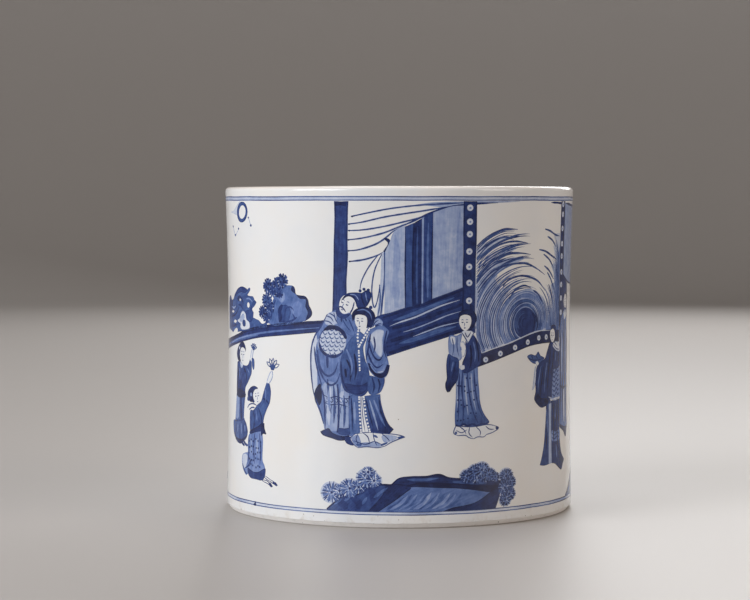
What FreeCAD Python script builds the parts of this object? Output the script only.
"""Porcelain brush pot (bitong): a thick-walled thrown cylinder, very slightly waisted, that stands on a
wide unglazed foot ring round a shallow glazed recess. It holds upright writing brushes on a desk.

Frame: millimetres, +Z up, origin on the table plane at the centre of the foot ring. Every sub-part is a
solid of revolution about Z. Its profile is a constrained sketch on the XZ plane, where X is the radius
and Y is the height. The paste, which is the fired clay body, is drawn smaller than the finished pot by
one glaze coat wherever it is glazed, so that the coats fit it face to face.
"""

import FreeCAD, Part  # noqa: E401  FreeCAD has to be imported first
import math
import os

import Sketcher
from FreeCAD import Vector

# ---------------------------------------------------------------------------------------------------
# Driving dimensions: alias, value in millimetres, what it is
# ---------------------------------------------------------------------------------------------------
DIMENSIONS = [
    ("pot_height", 170.0, "table to the top of the lip"),
    ("rim_radius", 92.5, "outside radius at the lip, the widest place"),
    ("waist_inset", 1.5, "how much less the outside radius is at the waist, the narrowest place"),
    ("waist_height", 92.0, "height of the waist"),
    ("foot_inset", 0.5, "how much less the outside radius is at the top of the foot's bevel"),
    ("lip_thickness", 6.4, "wall at the lip"),
    ("wall_thickness", 8.2, "wall at the floor"),
    ("lip_round", 2.2, "radius of the lip's two edges"),
    ("floor_thickness", 9.0, "from the glazed recess to the glazed floor"),
    ("floor_round", 11.0, "radius where the wall meets the floor inside"),
    ("recess_depth", 3.0, "how far the glazed recess lies above the table"),
    ("ring_width", 25.0, "flat face of the foot ring that rests on the table"),
    ("bevel_width", 1.7, "bevel at the foot's outer edge, across"),
    ("bevel_height", 2.5, "bevel at the foot's outer edge, up: the glaze stops here"),
    ("glaze", 0.35, "thickness of every glaze coat"),
]

START, END, CENTRE = 1, 2, 3  # the point numbers that a sketch constraint uses
LEVEL_AXIS, UPRIGHT_AXIS = -1, -2  # the sketch's own axes, as geometry numbers
SKETCH_ORIGIN = (LEVEL_AXIS, START)

doc = FreeCAD.newDocument("brush_pot")


# ---------------------------------------------------------------------------------------------------
# The sheet, and the values worked out from it
# ---------------------------------------------------------------------------------------------------
def make_sheet():
    """Puts each driving dimension in a cell of its own: column A says what it is, column B holds it."""
    sheet = doc.addObject("Spreadsheet::Sheet", "sizes")
    for row, (alias, value, words) in enumerate(DIMENSIONS, start=1):
        sheet.set(f"A{row}", words)
        sheet.set(f"B{row}", str(value))
        sheet.setAlias(f"B{row}", alias)
    doc.recompute()
    return sheet


sheet = make_sheet()


def size(alias):
    return float(sheet.get(alias))


# Places that follow from the sheet, written as expressions so that constraints can be bound to them.
WAIST = "sizes.rim_radius - sizes.waist_inset"
FOOT = "sizes.rim_radius - sizes.foot_inset"
BARE_FOOT = f"{FOOT} - sizes.glaze - sizes.bevel_width"
PLACES = {
    "lip_x": "sizes.rim_radius - sizes.lip_round",
    "lip_z": "sizes.pot_height - sizes.lip_round",
    "inner_lip_x": "sizes.rim_radius - sizes.lip_thickness + sizes.lip_round",
    "lip_middle": "sizes.rim_radius - sizes.lip_thickness / 2",
    "corner_x": f"{FOOT} - sizes.wall_thickness - sizes.floor_round",
    "corner_z": "sizes.recess_depth + sizes.floor_thickness + sizes.floor_round",
    "contact_radius": BARE_FOOT,
    "recess_radius": f"{BARE_FOOT} - sizes.ring_width",
}


def number(expression):
    """The value of an expression over the sheet's aliases."""
    for alias, _, _ in sorted(DIMENSIONS, key=lambda d: -len(d[0])):
        expression = expression.replace("sizes." + alias, repr(size(alias)))
    return float(FreeCAD.Units.Quantity(expression).Value)


# ---------------------------------------------------------------------------------------------------
# Drawing in a sketch: a place in the outline is (geometry number, point number)
# ---------------------------------------------------------------------------------------------------
def new_profile(label):
    """A body with an empty sketch on its XZ plane."""
    body = doc.addObject("PartDesign::Body", label)
    body.Label = label
    plane = [f for f in body.Origin.OriginFeatures if f.Role == "XZ_Plane"][0]
    sketch = body.newObject("Sketcher::SketchObject", label + "_profile")
    sketch.AttachmentSupport = [(plane, "")]
    sketch.MapMode = "FlatFace"
    return body, sketch


def pin(sketch, kind, geometry, point, expression):
    """Fixes one coordinate of a point, measured from the sketch's origin and bound to the sheet."""
    if expression == "0":
        axis = UPRIGHT_AXIS if kind == "DistanceX" else LEVEL_AXIS
        sketch.addConstraint(Sketcher.Constraint("PointOnObject", geometry, point, axis))
        return
    distance = Sketcher.Constraint(kind, *SKETCH_ORIGIN, geometry, point, number(expression))
    index = sketch.addConstraint(distance)
    sketch.setExpression(f"Constraints[{index}]", expression)


def add_line(sketch, start, end):
    return sketch.addGeometry(Part.LineSegment(Vector(*start, 0), Vector(*end, 0)), False)


def add_arc(sketch, centre, radius, first, last):
    """A counter-clockwise arc between two angles in radians."""
    circle = Part.Circle(Vector(*centre, 0), Vector(0, 0, 1), radius)
    return sketch.addGeometry(Part.ArcOfCircle(circle, first, last), False)


def outside(sketch, inset):
    """The wall's outer side, one inset inside the finished surface: lip round, flare, and the wall below.

    The flare and the lower wall are two long arcs that meet at the waist with an upright tangent, so both
    have their centres level with the waist. The flare runs on into the lip round.
    """
    off = number(inset)
    waist_x, waist_z = number(WAIST) - off, size("waist_height")
    lip = (number(PLACES["lip_x"]), number(PLACES["lip_z"]))
    lip_radius = size("lip_round") - off
    foot = (number(FOOT) - off, size("bevel_height"))

    across, rise = waist_x - lip[0], lip[1] - waist_z
    flare = (across**2 + rise**2 - lip_radius**2) / (2 * (lip_radius - across))
    tangent = math.atan2(waist_z - lip[1], waist_x + flare - lip[0])
    step, drop = foot[0] - waist_x, waist_z - foot[1]
    lower = (step**2 + drop**2) / (2 * step)

    arc_lip = add_arc(sketch, lip, lip_radius, tangent, math.pi / 2)
    arc_flare = add_arc(sketch, (waist_x + flare, waist_z), flare, math.pi + tangent, math.pi)
    arc_wall = add_arc(
        sketch, (waist_x + lower, waist_z), lower, math.pi, math.pi + math.asin(drop / lower)
    )
    sketch.addConstraint(Sketcher.Constraint("Tangent", arc_lip, START, arc_flare, START))
    sketch.addConstraint(Sketcher.Constraint("Coincident", arc_flare, END, arc_wall, START))
    pin(sketch, "DistanceX", arc_lip, CENTRE, PLACES["lip_x"])
    pin(sketch, "DistanceY", arc_lip, CENTRE, PLACES["lip_z"])
    pin(sketch, "DistanceX", arc_flare, END, f"{WAIST} - {inset}")
    for arc in (arc_flare, arc_wall):
        pin(sketch, "DistanceY", arc, CENTRE, "sizes.waist_height")
    pin(sketch, "DistanceY", arc_flare, END, "sizes.waist_height")
    pin(sketch, "DistanceX", arc_wall, END, f"{FOOT} - {inset}")
    pin(sketch, "DistanceY", arc_wall, END, "sizes.bevel_height")
    bind_radius(sketch, arc_lip, f"sizes.lip_round - {inset}")
    sketch.addConstraint(Sketcher.Constraint("Vertical", arc_lip, END, arc_lip, CENTRE))
    return arc_lip, arc_wall


def inside(sketch, inset):
    """The wall's inner side, one inset behind the finished surface: lip round, wall, corner and floor."""
    off = number(inset)
    lip = Vector(number(PLACES["inner_lip_x"]), number(PLACES["lip_z"]), 0)
    corner = Vector(number(PLACES["corner_x"]), number(PLACES["corner_z"]), 0)
    lip_radius = size("lip_round") - off
    corner_radius = size("floor_round") + off

    # The wall touches the two rounds on opposite sides, so its normal n gives n.(lip - corner) = both radii.
    between = lip - corner
    turn = math.asin((lip_radius + corner_radius) / between.Length) - math.atan2(between.x, between.y)
    normal = Vector(math.cos(turn), math.sin(turn), 0)
    top = lip - normal * lip_radius
    bottom = corner + normal * corner_radius
    floor_z = corner.y - corner_radius

    arc_lip = add_arc(sketch, (lip.x, lip.y), lip_radius, math.pi / 2, math.pi + turn)
    wall = add_line(sketch, (top.x, top.y), (bottom.x, bottom.y))
    arc_corner = add_arc(sketch, (corner.x, corner.y), corner_radius, -math.pi / 2, turn)
    floor = add_line(sketch, (corner.x, floor_z), (0, floor_z))
    sketch.addConstraint(Sketcher.Constraint("Tangent", arc_lip, END, wall, START))
    sketch.addConstraint(Sketcher.Constraint("Tangent", wall, END, arc_corner, END))
    sketch.addConstraint(Sketcher.Constraint("Tangent", arc_corner, START, floor, START))
    pin(sketch, "DistanceX", arc_lip, CENTRE, PLACES["inner_lip_x"])
    pin(sketch, "DistanceY", arc_lip, CENTRE, PLACES["lip_z"])
    pin(sketch, "DistanceX", arc_corner, CENTRE, PLACES["corner_x"])
    pin(sketch, "DistanceY", arc_corner, CENTRE, PLACES["corner_z"])
    bind_radius(sketch, arc_lip, f"sizes.lip_round - {inset}")
    bind_radius(sketch, arc_corner, f"sizes.floor_round + {inset}")
    sketch.addConstraint(Sketcher.Constraint("Vertical", arc_lip, START, arc_lip, CENTRE))
    sketch.addConstraint(Sketcher.Constraint("Horizontal", floor))
    pin(sketch, "DistanceX", floor, END, "0")
    return arc_lip, floor


def bind_radius(sketch, arc, expression):
    index = sketch.addConstraint(Sketcher.Constraint("Radius", arc, number(expression)))
    sketch.setExpression(f"Constraints[{index}]", expression)


def join(sketch, first, second):
    """A straight line from one point of the outline to another, each given as (geometry, point)."""
    start, end = (sketch.getPoint(*p) for p in (first, second))
    line = add_line(sketch, (start.x, start.y), (end.x, end.y))
    sketch.addConstraint(Sketcher.Constraint("Coincident", line, START, *first))
    sketch.addConstraint(Sketcher.Constraint("Coincident", line, END, *second))
    return line


def revolve(body, sketch):
    """Turns the profile a full turn about the pot's axis."""
    turned = body.newObject("PartDesign::Revolution", body.Label + "_turned")
    turned.Profile = sketch
    turned.ReferenceAxis = (sketch, ["V_Axis"])
    turned.Angle = 360.0
    sketch.Visibility = False
    body.Tip = turned
    doc.recompute()


# ---------------------------------------------------------------------------------------------------
# The sub-parts
# ---------------------------------------------------------------------------------------------------
def porcelain_body():
    """The thrown and turned paste: wall, floor and foot ring in one piece of clay. Bare at the foot ring."""
    body, sketch = new_profile("porcelain_body")
    lip_out, wall = outside(sketch, "sizes.glaze")
    lip_in, floor = inside(sketch, "sizes.glaze")
    join(sketch, (lip_out, END), (lip_in, START))

    contact, recess = number(PLACES["contact_radius"]), number(PLACES["recess_radius"])
    ceiling = size("recess_depth") + size("glaze")
    foot = sketch.getPoint(wall, END)
    bevel = add_line(sketch, (foot.x, foot.y), (contact, 0))
    ring = add_line(sketch, (contact, 0), (recess, 0))
    step = add_line(sketch, (recess, 0), (recess, ceiling))
    base = add_line(sketch, (recess, ceiling), (0, ceiling))
    sketch.addConstraint(Sketcher.Constraint("Coincident", wall, END, bevel, START))
    for one, other in ((bevel, ring), (ring, step), (step, base)):
        sketch.addConstraint(Sketcher.Constraint("Coincident", one, END, other, START))
    pin(sketch, "DistanceX", ring, START, PLACES["contact_radius"])
    pin(sketch, "DistanceY", ring, START, "0")
    sketch.addConstraint(Sketcher.Constraint("Horizontal", ring))
    sketch.addConstraint(Sketcher.Constraint("Vertical", step))
    sketch.addConstraint(Sketcher.Constraint("Horizontal", base))
    pin(sketch, "DistanceX", ring, END, PLACES["recess_radius"])
    pin(sketch, "DistanceY", base, START, "sizes.recess_depth + sizes.glaze")
    pin(sketch, "DistanceX", base, END, "0")
    join(sketch, (base, END), (floor, END))
    revolve(body, sketch)
    return body


def glaze_coat(label, side, last):
    """A coat on one side of the wall: its finished surface, and the paste's surface one glaze thickness in.

    side draws that side of the wall, and last is the point number where the lip round meets the lip's
    flat top. The outer and inner coats meet in the middle of that flat.
    """
    body, sketch = new_profile(label)
    lip_face, end_face = side(sketch, "0")
    lip_back, end_back = side(sketch, "sizes.glaze")
    middle = number(PLACES["lip_middle"])
    top = []
    for lip in (lip_face, lip_back):
        corner = sketch.getPoint(lip, last)
        flat = add_line(sketch, (corner.x, corner.y), (middle, corner.y))
        sketch.addConstraint(Sketcher.Constraint("Coincident", flat, START, lip, last))
        sketch.addConstraint(Sketcher.Constraint("Horizontal", flat))
        pin(sketch, "DistanceX", flat, END, PLACES["lip_middle"])
        top.append(flat)
    join(sketch, (top[0], END), (top[1], END))
    join(sketch, (end_face, END), (end_back, END))
    revolve(body, sketch)
    return body


def base_glaze():
    """The disc of glaze on the ceiling of the recess under the pot."""
    body = doc.addObject("PartDesign::Body", "base_glaze")
    body.Label = "base_glaze"
    plane = [f for f in body.Origin.OriginFeatures if f.Role == "XY_Plane"][0]
    sketch = body.newObject("Sketcher::SketchObject", "base_glaze_profile")
    sketch.AttachmentSupport = [(plane, "")]
    sketch.MapMode = "FlatFace"
    sketch.AttachmentOffset = FreeCAD.Placement(Vector(0, 0, size("recess_depth")), FreeCAD.Rotation())
    sketch.setExpression("AttachmentOffset.Base.z", "sizes.recess_depth")
    disc = sketch.addGeometry(
        Part.Circle(Vector(0, 0, 0), Vector(0, 0, 1), number(PLACES["recess_radius"])), False
    )
    sketch.addConstraint(Sketcher.Constraint("Coincident", disc, CENTRE, *SKETCH_ORIGIN))
    bind_radius(sketch, disc, PLACES["recess_radius"])
    pad = body.newObject("PartDesign::Pad", "base_glaze_coat")
    pad.Profile = sketch
    pad.setExpression("Length", "sizes.glaze")
    sketch.Visibility = False
    body.Tip = pad
    doc.recompute()
    return body


def check(bodies):
    """Stops the build if any object failed or any sub-part isn't one sound solid."""
    for item in doc.Objects:
        if "Invalid" in item.State or "Error" in item.State:
            raise RuntimeError(f"{item.Label} failed: {item.State}")
        if item.TypeId == "Sketcher::SketchObject" and item.solve() != 0:
            raise RuntimeError(f"{item.Label} has no solution")
    for body in bodies:
        shape = body.Shape
        if shape.isNull() or not shape.isValid() or len(shape.Solids) != 1:
            raise RuntimeError(f"{body.Label} isn't one sound solid")


def main():
    bodies = [
        porcelain_body(),
        glaze_coat("outer_glaze", outside, END),
        glaze_coat("inner_glaze", inside, START),
        base_glaze(),
    ]
    doc.recompute()
    check(bodies)
    os.makedirs("parts", exist_ok=True)
    for body in bodies:
        body.Shape.exportStep(os.path.join("parts", body.Label + ".step"))
        box = body.Shape.BoundBox
        print(
            f"{body.Label}: {body.Shape.Volume / 1000:.1f} cm3, "
            f"{box.XLength:.2f} x {box.YLength:.2f} x {box.ZLength:.2f} mm from z {box.ZMin:.2f}"
        )


main()
